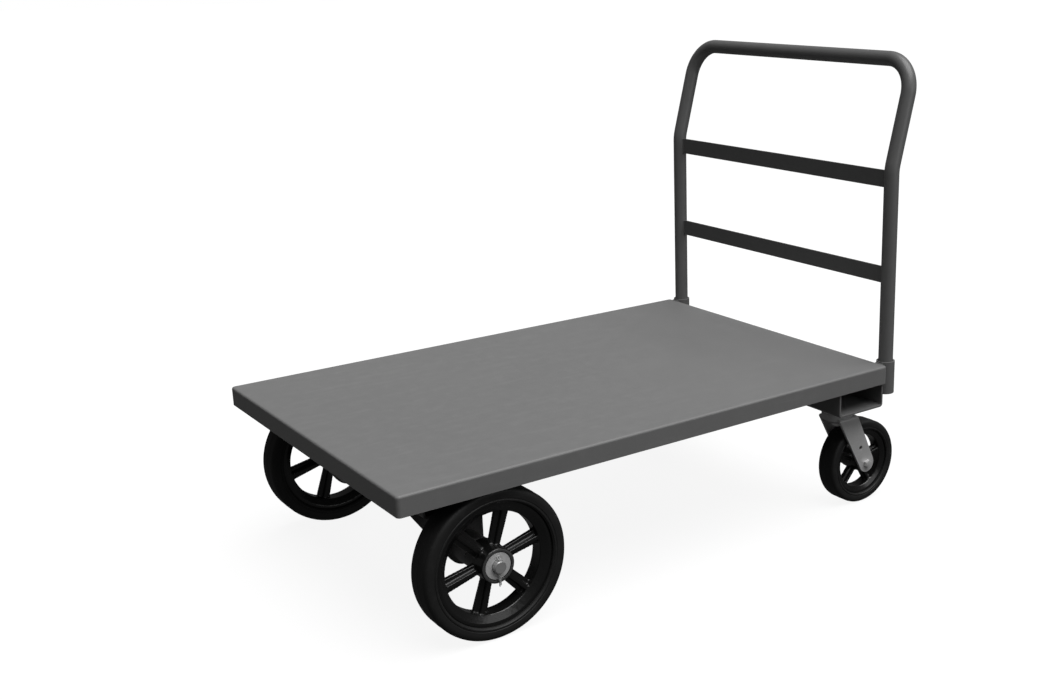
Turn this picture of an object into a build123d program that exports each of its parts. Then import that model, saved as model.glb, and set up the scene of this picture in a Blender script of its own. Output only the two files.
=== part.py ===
from build123d import *
import os

# A flat steel platform cart.  +X points to the handle end, +Y to the right-hand side of
# someone pushing it, +Z up.  The origin lies on the floor under the middle of the whole cart.
# All sizes are in millimetres.

# ---------------------------------------------------------------- deck
deck_length = 1219.2
deck_width = 812.8
deck_sheet = 2.7
deck_flange = 41.3            # depth of the folded-down edge, sheet included
deck_bend = 5.0               # outside radius of the folded edge
deck_corner = 8.0             # outside radius of the four upright corners
stiffener_width = 76.2
stiffener_depth = 35.0
stiffener_bend = 5.0

# ---------------------------------------------------------------- cross channels
channel_wall = 4.8
channel_bend = 8.0            # outside bend radius of both cross channels
caster_channel_width = 136.0
caster_channel_setback = 6.2  # rear wall to the rear edge of the deck
axle_channel_width = 150.0
axle_channel_inset = 86.0

# ---------------------------------------------------------------- front wheels and axle
front_wheel_diameter = 304.8
front_tyre_width = 61.0
front_tyre_shoulder = 9.0
front_rubber_depth = 27.4
front_rim_depth = 22.0
front_rim_width = 48.0
front_rim_land = 30.0         # width of the rim where the spokes meet it
front_hub_radius = 35.4
front_hub_length = 65.0
front_hub_recess = 4.6
front_spokes = 6
front_spoke_at_hub = 24.0
front_spoke_at_rim = 31.0
front_web = 10.0
front_rib_width = 9.0
front_rib_depth = 27.0
front_spoke_phase = 13.5
front_window_fillet = 6.0
hub_edge = 1.6                # chamfer round the ends of every wheel hub
web_lip = 1.5                 # web left standing inside the rim and round the hub
front_wheel_inset = 42.4      # wheel middle to the side of the deck
tyre_headroom = 39.5          # top of a front tyre to the underside of the deck
axle_setback = 199.6          # axle to the front edge of the deck
axle_diameter = 25.4
axle_tip = 10.0               # axle beyond the outer washer
axle_chamfer = 1.5
front_roller_diameter = 6.8
front_rollers = 12
front_race_wall = 2.2
front_race_length = 50.0
washer_diameter = 54.0
washer_thickness = 3.2
inner_washer_thickness = 4.8
cotter_diameter = 4.6
cotter_slit = 0.5
cotter_neck = 2.3             # straight wire above the axle
cotter_tail = 27.3            # straight wire below the axle
cotter_eye = 4.2              # middle radius of the eye
cotter_wire = 1.6             # wire radius of the eye

# ---------------------------------------------------------------- axle hangers
hanger_thickness = 9.5
hanger_inset = 135.0          # outer face to the side of the deck
hanger_end_radius = 40.0
boss_diameter = 64.0

# ---------------------------------------------------------------- swivel casters
caster_wheel_diameter = 200.0
caster_tyre_width = 50.8
caster_tyre_shoulder = 7.0
caster_rubber_depth = 22.0
caster_rim_depth = 14.0
caster_rim_width = 40.0
caster_rim_land = 28.0
caster_hub_radius = 24.0
caster_hub_gap = 2.0          # hub end to the fork leg beside it
caster_spokes = 5
caster_spoke_at_hub = 15.0
caster_spoke_at_rim = 18.0
caster_web = 8.0
caster_rib_width = 7.0
caster_rib_depth = 24.0
caster_spoke_phase = 13.0
caster_window_fillet = 4.0
caster_inset = 82.5           # swivel axis to the side of the deck
caster_lead = 64.8            # swivel axis to wheel axle
fork_sheet = 6.0
fork_leg_clearance = 4.6      # tyre side to the fork leg beside it
fork_bend = 7.0
fork_end_radius = 22.0
fork_top_front = 24.0         # leg's top corner ahead of the swivel axis
fork_top_rear = 32.0          # leg's top corner behind the swivel axis
fork_hole_diameter = 10.0
fork_hole_reach = 0.66        # place of the spare hole, from leg top to axle
crown_clearance = 18.5        # wheel to the underside of the crown
crown_gap = 19.5              # crown to caster plate
caster_plate_thickness = 6.0
caster_plate_length = 101.6
caster_plate_width = 114.3
caster_plate_corner = 8.0
race_outer_radius = 36.0
race_inner_radius = 18.0
upper_ball_diameter = 9.5
upper_ball_ring = 27.0
upper_balls = 14
lower_ball_diameter = 6.4
lower_ball_ring = 16.0
lower_balls = 12
kingpin_diameter = 16.0
kingpin_head_diameter = 26.0
kingpin_head_height = 4.0
retainer_radius = 21.0
retainer_height = 6.0
kingpin_nut_across = 24.0
kingpin_nut_height = 8.0
kingpin_tip = 3.0
caster_axle_diameter = 12.7
caster_axle_head_across = 19.0
caster_axle_head_height = 8.0
caster_axle_nut_height = 11.0
caster_axle_tip = 3.5
bushing_diameter = 19.0
caster_roller_diameter = 5.0
caster_rollers = 12

# ---------------------------------------------------------------- handle
handle_tube_diameter = 33.4
handle_tube_wall = 3.4
handle_inset = 25.2           # tube axis to the side of the deck
handle_bend_above_deck = 443.0
handle_top_above_deck = 673.6
handle_lean = 15.0            # lean of the upper part, in degrees
handle_corner = 76.2          # middle radius of the two top corners
handle_knee = 100.0           # middle radius of the bend where the lean starts
crossbar_height = 38.1
crossbar_thickness = 4.8
upper_bar_above_deck = 438.0  # top edge of the upper bar
lower_bar_above_deck = 221.0  # top edge of the lower bar
socket_wall = 3.575
socket_flat = 1.2             # depth of the flat that meets the rear flange
socket_length = 76.2
socket_above_deck = 4.2
socket_stop = 4.0
socket_ledge = 3.7            # width of the stop under the tube's end

# ---------------------------------------------------------------- clearances
running_clearance = 0.08      # shaft in a bearing, on the radius
socket_clearance = 0.825      # handle tube in its socket, on the radius
loose_clearance = 0.4         # bolt, pin or axle in a plain hole, on the radius
face_gap = 0.3                # between faces that turn past each other
seat_gap = 0.2                # handle tube above its stop

# ---------------------------------------------------------------- shares
tyre_root_share = 0.1         # inner fillet of a tyre, of its rubber's depth
rim_side_share = 1 / 3        # straight side of a rim, of its depth
rib_bite_share = 0.25         # how far a rib runs into the rim, of its depth
end_ring_share = 0.25         # length of a roller cage's end ring, of a roller's diameter
end_ring_reach = 1 / 3        # half the height of that ring, of a roller's diameter

# ---------------------------------------------------------------- worked-out places
sides = {"left": -1, "right": 1}
half_width = deck_width / 2
socket_bore = handle_tube_diameter + 2 * socket_clearance
socket_diameter = socket_bore + 2 * socket_wall
socket_stop_bore = handle_tube_diameter - 2 * socket_ledge
handle_setback = socket_diameter / 2 - socket_flat
handle_rise = handle_top_above_deck - handle_bend_above_deck
handle_reach = handle_rise * Vector(0, 0, 1).rotate(Axis.Y, handle_lean).X
handle_reach = handle_reach / Vector(0, 0, 1).rotate(Axis.Y, handle_lean).Z
cart_length = deck_length + handle_setback + handle_reach + handle_tube_diameter / 2
deck_front = -cart_length / 2
deck_rear = deck_front + deck_length
deck_middle = (deck_front + deck_rear) / 2
deck_top = front_wheel_diameter + tyre_headroom + deck_sheet
deck_under = deck_top - deck_sheet

axle_x = deck_front + axle_setback
axle_z = front_wheel_diameter / 2
front_wheel_y = half_width - front_wheel_inset
front_race_radius = axle_diameter / 2 + 2 * running_clearance + front_roller_diameter
front_bore_radius = front_race_radius + front_race_wall
hub_outer_y = front_wheel_y + front_hub_length / 2
hub_inner_y = front_wheel_y - front_hub_length / 2
outer_washer_y = hub_outer_y - front_hub_recess + face_gap + washer_thickness / 2
inner_washer_y = hub_inner_y - face_gap - inner_washer_thickness / 2
boss_outer_y = inner_washer_y - inner_washer_thickness / 2
hanger_y = half_width - hanger_inset - hanger_thickness / 2
axle_half_length = outer_washer_y + washer_thickness / 2 + axle_tip
cotter_y = (axle_half_length + outer_washer_y + washer_thickness / 2) / 2

caster_x = deck_rear - caster_channel_setback - caster_channel_width / 2
caster_y = half_width - caster_inset
caster_axle_x = caster_x + caster_lead
caster_axle_z = caster_wheel_diameter / 2
crown_under = caster_wheel_diameter + crown_clearance
crown_top = crown_under + fork_sheet
plate_under = crown_top + crown_gap
channel_under = plate_under + caster_plate_thickness
channel_depth = deck_under - channel_under
fork_gap = caster_tyre_width + 2 * fork_leg_clearance
fork_half_width = fork_gap / 2 + fork_sheet
caster_hub_length = fork_gap - 2 * caster_hub_gap
upper_ball_z = crown_top + crown_gap / 2
lower_ball_z = crown_under - lower_ball_diameter / 2 + face_gap
kingpin_radius = kingpin_diameter / 2
retainer_top = lower_ball_z - face_gap
bushing_radius = bushing_diameter / 2
caster_bore_radius = bushing_radius + 2 * running_clearance + caster_roller_diameter
axle_channel_x = axle_x + hanger_end_radius - axle_channel_width / 2

handle_x = deck_rear + handle_setback
handle_y = half_width - handle_inset
socket_top = deck_top + socket_above_deck
socket_bottom = socket_top - socket_length
tube_bottom = socket_bottom + socket_stop + seat_gap
knee_z = deck_top + handle_bend_above_deck
handle_top_z = deck_top + handle_top_above_deck


def across(x, y, z):
    """Sketch plane whose normal runs across the cart; its own Y axis is the cart's Z."""
    return Plane(origin=(x, y, z), x_dir=(1, 0, 0), z_dir=(0, -1, 0))


def half_section(x, y, z):
    """Sketch plane for turned shapes: its X axis runs across the cart, its Y axis is height."""
    return Plane(origin=(x, y, z), x_dir=(0, 1, 0), z_dir=(1, 0, 0))


def spindle(x, y, z):
    """Axis that runs across the cart through a point."""
    return Axis((x, y, z), (0, 1, 0))


# ================================================================ deck and cross members
def make_deck_pan():
    with BuildPart() as deck_pan:
        with BuildSketch(Plane.XY.offset(deck_top - deck_flange)):
            with Locations((deck_middle, 0)):
                RectangleRounded(deck_length, deck_width, deck_corner)
        extrude(amount=deck_flange)
        fillet(deck_pan.faces().sort_by(Axis.Z)[-1].edges(), deck_bend)
        offset(amount=-deck_sheet, openings=deck_pan.faces().sort_by(Axis.Z)[0])
    deck_pan.part.label = "deck_pan"
    export_step(deck_pan.part, "parts/deck_pan.step")


def channel_profile(width, depth, wall, bend):
    """Open-topped U: its top middle at the sketch origin."""
    with BuildSketch() as outside:
        Rectangle(width, depth, align=(Align.CENTER, Align.MAX))
        fillet(outside.vertices().group_by(Axis.Y)[0], bend)
    with BuildSketch() as inside:
        Rectangle(width - 2 * wall, depth - wall, align=(Align.CENTER, Align.MAX))
        fillet(inside.vertices().group_by(Axis.Y)[0], bend - wall)
    with BuildSketch() as profile:
        add(outside.sketch)
        add(inside.sketch, mode=Mode.SUBTRACT)
    return profile.sketch


def make_caster_channel():
    length = deck_width - 2 * (deck_bend + face_gap)
    profile = channel_profile(caster_channel_width, channel_depth, channel_wall, channel_bend)
    with BuildPart() as caster_channel:
        with BuildSketch(across(caster_x, 0, deck_under)):
            add(profile)
        extrude(amount=length / 2, both=True)
    caster_channel.part.label = "caster_channel"
    export_step(caster_channel.part, "parts/caster_channel.step")


def make_axle_channel():
    length = deck_width - 2 * axle_channel_inset
    profile = channel_profile(axle_channel_width, channel_depth, channel_wall, channel_bend)
    with BuildPart() as axle_channel:
        with BuildSketch(across(axle_channel_x, 0, deck_under)):
            add(profile)
        extrude(amount=length / 2, both=True)
    axle_channel.part.label = "axle_channel"
    export_step(axle_channel.part, "parts/axle_channel.step")


def make_deck_stiffener():
    front = axle_channel_x + axle_channel_width / 2
    rear = caster_x - caster_channel_width / 2
    profile = channel_profile(stiffener_width, stiffener_depth, deck_sheet, stiffener_bend)
    with BuildPart() as deck_stiffener:
        with BuildSketch(half_section(front, 0, deck_under)):
            add(profile)
        extrude(amount=rear - front)
    deck_stiffener.part.label = "deck_stiffener"
    export_step(deck_stiffener.part, "parts/deck_stiffener.step")


# ================================================================ front axle group
def make_axle():
    with BuildPart() as axle:
        with BuildSketch(across(axle_x, 0, axle_z)):
            Circle(axle_diameter / 2)
        extrude(amount=axle_half_length, both=True)
        chamfer(axle.edges().filter_by(GeomType.CIRCLE), axle_chamfer)
        for side in sides.values():
            with BuildSketch(Plane.XY.offset(axle_z)):
                with Locations((axle_x, side * cotter_y)):
                    Circle(cotter_diameter / 2 + loose_clearance)
            extrude(amount=axle_diameter, both=True, mode=Mode.SUBTRACT)
    axle.part.label = "axle"
    export_step(axle.part, "parts/axle.step")


def make_axle_hanger(name, side):
    half_top = axle_channel_width / 2
    with BuildPart() as axle_hanger:
        with BuildSketch(across(axle_x, side * hanger_y, axle_z)):
            Circle(hanger_end_radius)
            with Locations((axle_channel_x - axle_x, channel_under - axle_z)):
                Rectangle(2 * half_top, hanger_thickness, align=(Align.CENTER, Align.MAX))
            make_hull()
            Circle(axle_diameter / 2 + loose_clearance, mode=Mode.SUBTRACT)
        extrude(amount=hanger_thickness / 2, both=True)
    axle_hanger.part.label = f"axle_hanger_{name}"
    export_step(axle_hanger.part, f"parts/axle_hanger_{name}.step")


def make_axle_boss(name, side):
    inner = hanger_y + hanger_thickness / 2
    with BuildPart() as axle_boss:
        with BuildSketch(across(axle_x, side * (boss_outer_y + inner) / 2, axle_z)):
            Circle(boss_diameter / 2)
            Circle(axle_diameter / 2 + loose_clearance, mode=Mode.SUBTRACT)
        extrude(amount=(boss_outer_y - inner) / 2, both=True)
        rims = axle_boss.edges().filter_by(GeomType.CIRCLE).group_by(SortBy.RADIUS)[-1]
        chamfer(rims.sort_by(Axis.Y)[-1 if side > 0 else 0], axle_chamfer)
    axle_boss.part.label = f"axle_boss_{name}"
    export_step(axle_boss.part, f"parts/axle_boss_{name}.step")


def make_washer(label, y, thickness):
    with BuildPart() as washer:
        with BuildSketch(across(axle_x, y, axle_z)):
            Circle(washer_diameter / 2)
            Circle(axle_diameter / 2 + loose_clearance, mode=Mode.SUBTRACT)
        extrude(amount=thickness / 2, both=True)
    washer.part.label = label
    export_step(washer.part, f"parts/{label}.step")


def make_cotter_pin(name, side):
    y = side * cotter_y
    bottom = axle_z - axle_diameter / 2 - cotter_tail
    top = axle_z + axle_diameter / 2 + cotter_neck
    eye_z = top + cotter_eye
    with BuildPart() as cotter_pin:
        with BuildSketch(Plane.XY.offset(bottom)):
            with Locations((axle_x, y)):
                Circle(cotter_diameter / 2)
        extrude(amount=top - bottom)
        with BuildSketch(Plane.XY.offset(bottom)):
            with Locations((axle_x, y)):
                Rectangle(cotter_slit, 2 * cotter_diameter)
        extrude(amount=axle_z + axle_diameter / 2 - bottom, mode=Mode.SUBTRACT)
        with BuildSketch(Plane(origin=(axle_x, y, eye_z), x_dir=(1, 0, 0), z_dir=(0, 0, 1))):
            with Locations((cotter_eye, 0)):
                Circle(cotter_wire)
        revolve(axis=spindle(axle_x, y, eye_z), revolution_arc=360)
    cotter_pin.part.label = f"cotter_pin_{name}"
    export_step(cotter_pin.part, f"parts/cotter_pin_{name}.step")


# ================================================================ wheels
def make_tyre(label, place, diameter, width, depth, shoulder):
    """Solid rubber ring with rounded shoulders, moulded on the rim."""
    with BuildPart() as tyre:
        with BuildSketch(half_section(*place)) as profile:
            with Locations((0, diameter / 2)):
                Rectangle(width, depth, align=(Align.CENTER, Align.MAX))
            fillet(profile.vertices().group_by(Axis.Y)[-1], shoulder)
            fillet(profile.vertices().group_by(Axis.Y)[0], tyre_root_share * depth)
        revolve(axis=spindle(*place), revolution_arc=360)
    tyre.part.label = label
    export_step(tyre.part, f"parts/{label}.step")


def spoke_bars(inner, outer, at_hub, at_rim, count, phase):
    """Tapered bars between two radii, on a sketch centred on the wheel."""
    half = (outer - inner) / 2
    with BuildSketch() as bars:
        with PolarLocations(inner + half, count, start_angle=phase):
            corners = [(-half, -at_hub / 2), (half, -at_rim / 2)]
            Polygon(*corners, *[(x, -y) for x, y in reversed(corners)])
    return bars.sketch


def windowed_web(inner, outer, windows, bars, window_fillet):
    """Flat web of a wheel: what is left of the disc between rounded windows."""
    with BuildSketch() as web:
        Circle(windows[1])
        Circle(windows[0], mode=Mode.SUBTRACT)
        add(bars, mode=Mode.SUBTRACT)
        fillet(web.vertices(), window_fillet)
    with BuildSketch() as plate:
        Circle(outer)
        Circle(inner, mode=Mode.SUBTRACT)
        add(web.sketch, mode=Mode.SUBTRACT)
    return plate.sketch


def make_wheel_core(label, place, rim, hub, spokes, bore, recess):
    """Cast spoked centre: hub, rim, a flat web with windows, and a rib along each spoke.

    rim is (radius, depth, width, land), hub is (radius, length), spokes is (count, width at
    the hub, width at the rim, web, rib width, rib depth, phase, window fillet), bore is a
    radius, and recess is (side, radius, depth) or None.
    """
    rim_radius, rim_depth, rim_width, rim_land = rim
    hub_radius, hub_length = hub
    count, at_hub, at_rim, web, rib_width, rib_depth, phase, window_fillet = spokes
    window_radius = rim_radius - rim_depth
    reach = rim_radius - rim_depth / 2
    hub_middle = (bore + hub_radius) / 2
    bars = spoke_bars(hub_middle, reach, at_hub, at_rim, count, phase)
    rib_end = window_radius + rib_bite_share * rim_depth
    ribs = spoke_bars(hub_middle, rib_end, rib_width, rib_width, count, phase)
    windows = (hub_radius + web_lip, window_radius - web_lip)
    rim_side = rim_radius - rim_side_share * rim_depth
    plate = windowed_web(hub_middle, reach, windows, bars, window_fillet)
    with BuildPart() as core:
        with BuildSketch(across(*place)):
            add(plate)
        extrude(amount=web / 2, both=True)
        with BuildSketch(half_section(*place)):
            with BuildLine():
                Polyline(
                    (-rim_land / 2, window_radius),
                    (rim_land / 2, window_radius),
                    (rim_width / 2, rim_side),
                    (rim_width / 2, rim_radius),
                    (-rim_width / 2, rim_radius),
                    (-rim_width / 2, rim_side),
                    close=True,
                )
            make_face()
        revolve(axis=spindle(*place), revolution_arc=360)
        with BuildSketch(half_section(*place)) as barrel:
            with Locations((0, bore)):
                Rectangle(hub_length, hub_radius - bore, align=(Align.CENTER, Align.MIN))
            chamfer(barrel.vertices().group_by(Axis.Y)[-1], hub_edge)
        revolve(axis=spindle(*place), revolution_arc=360)
        with BuildSketch(across(*place)):
            add(ribs)
        extrude(amount=rib_depth / 2, both=True)
        if recess:
            side, recess_radius, recess_depth = recess
            floor = place[1] + side * (hub_length / 2 - recess_depth / 2)
            with BuildSketch(across(place[0], floor, place[2])):
                Circle(recess_radius)
            extrude(amount=recess_depth / 2, both=True, mode=Mode.SUBTRACT)
    core.part.label = label
    export_step(core.part, f"parts/{label}.step")


def make_roller_bearing(label, place, shaft_radius, roller, count, length):
    """Straight rollers around a shaft, held between two end rings."""
    roller_ring = shaft_radius + running_clearance + roller / 2
    end_ring = end_ring_share * roller
    ring_reach = end_ring_reach * roller
    with BuildPart() as bearing:
        with BuildSketch(across(*place)):
            with PolarLocations(roller_ring, count):
                Circle(roller / 2)
        extrude(amount=length / 2, both=True)
        for end in sides.values():
            middle = place[1] + end * (length - end_ring) / 2
            with BuildSketch(across(place[0], middle, place[2])):
                Circle(roller_ring + ring_reach)
                Circle(roller_ring - ring_reach, mode=Mode.SUBTRACT)
            extrude(amount=end_ring / 2, both=True)
    bearing.part.label = label
    export_step(bearing.part, f"parts/{label}.step")


def make_front_wheel(name, side):
    place = (axle_x, side * front_wheel_y, axle_z)
    rim_radius = front_wheel_diameter / 2 - front_rubber_depth
    make_tyre(f"front_tyre_{name}", place, front_wheel_diameter, front_tyre_width,
              front_rubber_depth, front_tyre_shoulder)
    make_wheel_core(
        f"front_wheel_core_{name}",
        place,
        (rim_radius, front_rim_depth, front_rim_width, front_rim_land),
        (front_hub_radius, front_hub_length),
        (front_spokes, front_spoke_at_hub, front_spoke_at_rim, front_web,
         front_rib_width, front_rib_depth, front_spoke_phase, front_window_fillet),
        front_bore_radius,
        (side, washer_diameter / 2 + 2 * loose_clearance, front_hub_recess),
    )
    with BuildPart() as race:
        with BuildSketch(across(*place)):
            Circle(front_bore_radius)
            Circle(front_race_radius, mode=Mode.SUBTRACT)
        extrude(amount=front_race_length / 2, both=True)
    race.part.label = f"front_bearing_race_{name}"
    export_step(race.part, f"parts/front_bearing_race_{name}.step")
    make_roller_bearing(f"front_roller_cage_{name}", place, axle_diameter / 2,
                        front_roller_diameter, front_rollers, front_race_length)


# ================================================================ swivel casters
def make_caster_plate(name, side):
    """Flat plate, welded under the channel, with the upper ball race standing down from it."""
    y = side * caster_y
    race_under = upper_ball_z + face_gap
    with BuildPart() as caster_plate:
        with BuildSketch(Plane.XY.offset(plate_under)):
            with Locations((caster_x, y)):
                RectangleRounded(caster_plate_length, caster_plate_width, caster_plate_corner)
        extrude(amount=caster_plate_thickness)
        with BuildSketch(Plane.XY.offset(race_under)):
            with Locations((caster_x, y)):
                Circle(race_outer_radius)
                Circle(race_inner_radius, mode=Mode.SUBTRACT)
        extrude(amount=plate_under - race_under)
        with BuildSketch(Plane(origin=(caster_x, y, upper_ball_z), x_dir=(1, 0, 0), z_dir=(0, -1, 0))):
            with Locations((upper_ball_ring, 0)):
                Circle(upper_ball_diameter / 2 + face_gap)
        revolve(axis=Axis((caster_x, y, 0), (0, 0, 1)), revolution_arc=360, mode=Mode.SUBTRACT)
        with BuildSketch(Plane.XY.offset(plate_under)):
            with Locations((caster_x, y)):
                Circle(kingpin_radius)
        extrude(amount=caster_plate_thickness, mode=Mode.SUBTRACT)
        with BuildSketch(Plane.XY.offset(channel_under - kingpin_head_height)):
            with Locations((caster_x, y)):
                Circle(kingpin_head_diameter / 2)
        extrude(amount=kingpin_head_height, mode=Mode.SUBTRACT)
    caster_plate.part.label = f"caster_plate_{name}"
    export_step(caster_plate.part, f"parts/caster_plate_{name}.step")


def make_kingpin_group(name, side):
    """Kingpin, the ball retainer under the crown and the nut that holds it."""
    y = side * caster_y
    retainer_under = retainer_top - retainer_height
    nut_under = retainer_under - kingpin_nut_height
    with BuildPart() as kingpin:
        with BuildSketch(Plane.XY.offset(nut_under - kingpin_tip)):
            with Locations((caster_x, y)):
                Circle(kingpin_radius)
        extrude(amount=channel_under - nut_under + kingpin_tip)
        with BuildSketch(Plane.XY.offset(channel_under - kingpin_head_height)):
            with Locations((caster_x, y)):
                Circle(kingpin_head_diameter / 2)
        extrude(amount=kingpin_head_height)
    kingpin.part.label = f"kingpin_{name}"
    export_step(kingpin.part, f"parts/kingpin_{name}.step")

    with BuildPart() as retainer:
        with BuildSketch(Plane.XY.offset(retainer_under)):
            with Locations((caster_x, y)):
                Circle(retainer_radius)
                Circle(kingpin_radius, mode=Mode.SUBTRACT)
        extrude(amount=retainer_height)
        with BuildSketch(Plane(origin=(caster_x, y, lower_ball_z), x_dir=(1, 0, 0), z_dir=(0, -1, 0))):
            with Locations((lower_ball_ring, 0)):
                Circle(lower_ball_diameter / 2 + face_gap)
        revolve(axis=Axis((caster_x, y, 0), (0, 0, 1)), revolution_arc=360, mode=Mode.SUBTRACT)
    retainer.part.label = f"ball_retainer_{name}"
    export_step(retainer.part, f"parts/ball_retainer_{name}.step")

    with BuildPart() as kingpin_nut:
        with BuildSketch(Plane.XY.offset(nut_under)):
            with Locations((caster_x, y)):
                RegularPolygon(kingpin_nut_across / 2, 6, major_radius=False)
                Circle(kingpin_radius, mode=Mode.SUBTRACT)
        extrude(amount=kingpin_nut_height)
    kingpin_nut.part.label = f"kingpin_nut_{name}"
    export_step(kingpin_nut.part, f"parts/kingpin_nut_{name}.step")


def make_caster_balls(name, side):
    """Two rows of loose balls: one above the crown, a smaller one below it."""
    y = side * caster_y
    rows = [
        (upper_ball_z, upper_ball_ring, upper_ball_diameter, upper_balls),
        (lower_ball_z, lower_ball_ring, lower_ball_diameter, lower_balls),
    ]
    with BuildPart() as balls:
        for z, ring, diameter, count in rows:
            with Locations((caster_x, y, z)):
                with PolarLocations(ring, count):
                    Sphere(diameter / 2)
    balls.part.label = f"swivel_balls_{name}"
    export_step(balls.part, f"parts/swivel_balls_{name}.step")


def make_caster_fork(name, side):
    """One bent plate: a flat crown with two legs that lean back to the wheel axle."""
    y = side * caster_y
    with BuildPart() as fork:
        with BuildSketch(across(caster_axle_x, y, caster_axle_z)) as leg:
            Circle(fork_end_radius)
            top_middle = (fork_top_rear - fork_top_front) / 2 - caster_lead
            with Locations((top_middle, crown_top - caster_axle_z)):
                top_width = fork_top_rear + fork_top_front
                Rectangle(top_width, fork_sheet, align=(Align.CENTER, Align.MAX))
            make_hull()
        extrude(amount=fork_half_width, both=True)
        with BuildSketch(Plane.XY.offset(crown_top)):
            with Locations((caster_x, y)):
                Circle(race_outer_radius)
        extrude(amount=-fork_sheet)
        with BuildSketch(Plane.XY):
            with Locations((caster_x, y)):
                Rectangle(4 * caster_lead, fork_gap)
        extrude(amount=crown_under, mode=Mode.SUBTRACT)
        top_edges = fork.edges().filter_by(Axis.X).group_by(Axis.Z)[-1]
        fillet(top_edges, fork_bend)
        with BuildSketch(Plane.XY.offset(crown_top)):
            with Locations((caster_x, y)):
                Circle(race_outer_radius)
        extrude(amount=upper_ball_z - face_gap - crown_top)
        for z, ring, diameter in (
            (upper_ball_z, upper_ball_ring, upper_ball_diameter),
            (lower_ball_z, lower_ball_ring, lower_ball_diameter),
        ):
            groove = Plane(origin=(caster_x, y, z), x_dir=(1, 0, 0), z_dir=(0, -1, 0))
            with BuildSketch(groove):
                with Locations((ring, 0)):
                    Circle(diameter / 2)
            revolve(axis=Axis((caster_x, y, 0), (0, 0, 1)), revolution_arc=360, mode=Mode.SUBTRACT)
        with BuildSketch(Plane.XY.offset(crown_under)):
            with Locations((caster_x, y)):
                Circle(kingpin_radius + running_clearance)
        extrude(amount=crown_gap, mode=Mode.SUBTRACT)
        spare_x = (top_middle + caster_lead) * (1 - fork_hole_reach) + caster_lead * fork_hole_reach
        spare_z = crown_top * (1 - fork_hole_reach) + caster_axle_z * fork_hole_reach
        with BuildSketch(across(0, y, 0)):
            with Locations((caster_axle_x, caster_axle_z)):
                Circle(caster_axle_diameter / 2 + loose_clearance)
            with Locations((caster_x + spare_x, spare_z)):
                Circle(fork_hole_diameter / 2)
        extrude(amount=2 * fork_half_width, both=True, mode=Mode.SUBTRACT)
    fork.part.label = f"caster_fork_{name}"
    export_step(fork.part, f"parts/caster_fork_{name}.step")


def make_caster_axle_group(name, side):
    """Hex bolt with its head on the cart's outer side, its nut, and the bushing on it."""
    y = side * caster_y
    outer = y + side * fork_half_width
    inner = y - side * fork_half_width
    nut_end = inner - side * caster_axle_nut_height
    tip_end = nut_end - side * caster_axle_tip
    with BuildPart() as bolt:
        with BuildSketch(across(caster_axle_x, (outer + tip_end) / 2, caster_axle_z)):
            Circle(caster_axle_diameter / 2)
        extrude(amount=abs(outer - tip_end) / 2, both=True)
        head_middle = outer + side * caster_axle_head_height / 2
        with BuildSketch(across(caster_axle_x, head_middle, caster_axle_z)):
            RegularPolygon(caster_axle_head_across / 2, 6, major_radius=False)
        extrude(amount=caster_axle_head_height / 2, both=True)
    bolt.part.label = f"caster_axle_bolt_{name}"
    export_step(bolt.part, f"parts/caster_axle_bolt_{name}.step")

    with BuildPart() as nut:
        with BuildSketch(across(caster_axle_x, (inner + nut_end) / 2, caster_axle_z)):
            RegularPolygon(caster_axle_head_across / 2, 6, major_radius=False)
            Circle(caster_axle_diameter / 2, mode=Mode.SUBTRACT)
        extrude(amount=caster_axle_nut_height / 2, both=True)
    nut.part.label = f"caster_axle_nut_{name}"
    export_step(nut.part, f"parts/caster_axle_nut_{name}.step")

    with BuildPart() as bushing:
        with BuildSketch(across(caster_axle_x, y, caster_axle_z)):
            Circle(bushing_radius)
            Circle(caster_axle_diameter / 2 + loose_clearance, mode=Mode.SUBTRACT)
        extrude(amount=fork_gap / 2, both=True)
    bushing.part.label = f"caster_axle_bushing_{name}"
    export_step(bushing.part, f"parts/caster_axle_bushing_{name}.step")


def make_caster_wheel(name, side):
    place = (caster_axle_x, side * caster_y, caster_axle_z)
    rim_radius = caster_wheel_diameter / 2 - caster_rubber_depth
    make_tyre(f"caster_tyre_{name}", place, caster_wheel_diameter, caster_tyre_width,
              caster_rubber_depth, caster_tyre_shoulder)
    make_wheel_core(
        f"caster_wheel_core_{name}",
        place,
        (rim_radius, caster_rim_depth, caster_rim_width, caster_rim_land),
        (caster_hub_radius, caster_hub_length),
        (caster_spokes, caster_spoke_at_hub, caster_spoke_at_rim, caster_web,
         caster_rib_width, caster_rib_depth, caster_spoke_phase, caster_window_fillet),
        caster_bore_radius,
        None,
    )
    make_roller_bearing(f"caster_roller_cage_{name}", place, bushing_radius,
                        caster_roller_diameter, caster_rollers, caster_hub_length)


# ================================================================ handle
def handle_path():
    """Middle line of the bent tube, from one foot over the top to the other."""
    top_x = handle_x + handle_reach
    with BuildLine() as path:
        FilletPolyline(
            (handle_x, -handle_y, tube_bottom),
            (handle_x, -handle_y, knee_z),
            (top_x, -handle_y, handle_top_z),
            (top_x, handle_y, handle_top_z),
            (handle_x, handle_y, knee_z),
            (handle_x, handle_y, tube_bottom),
            radius=[handle_knee, handle_corner, handle_corner, handle_knee],
        )
    return path.line


def make_handle_tube():
    with BuildPart() as handle_tube:
        with BuildSketch(Plane.XY.offset(tube_bottom)):
            with Locations((handle_x, -handle_y)):
                Circle(handle_tube_diameter / 2)
                Circle(handle_tube_diameter / 2 - handle_tube_wall, mode=Mode.SUBTRACT)
        sweep(path=handle_path())
    handle_tube.part.label = "handle_tube"
    export_step(handle_tube.part, "parts/handle_tube.step")


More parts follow.
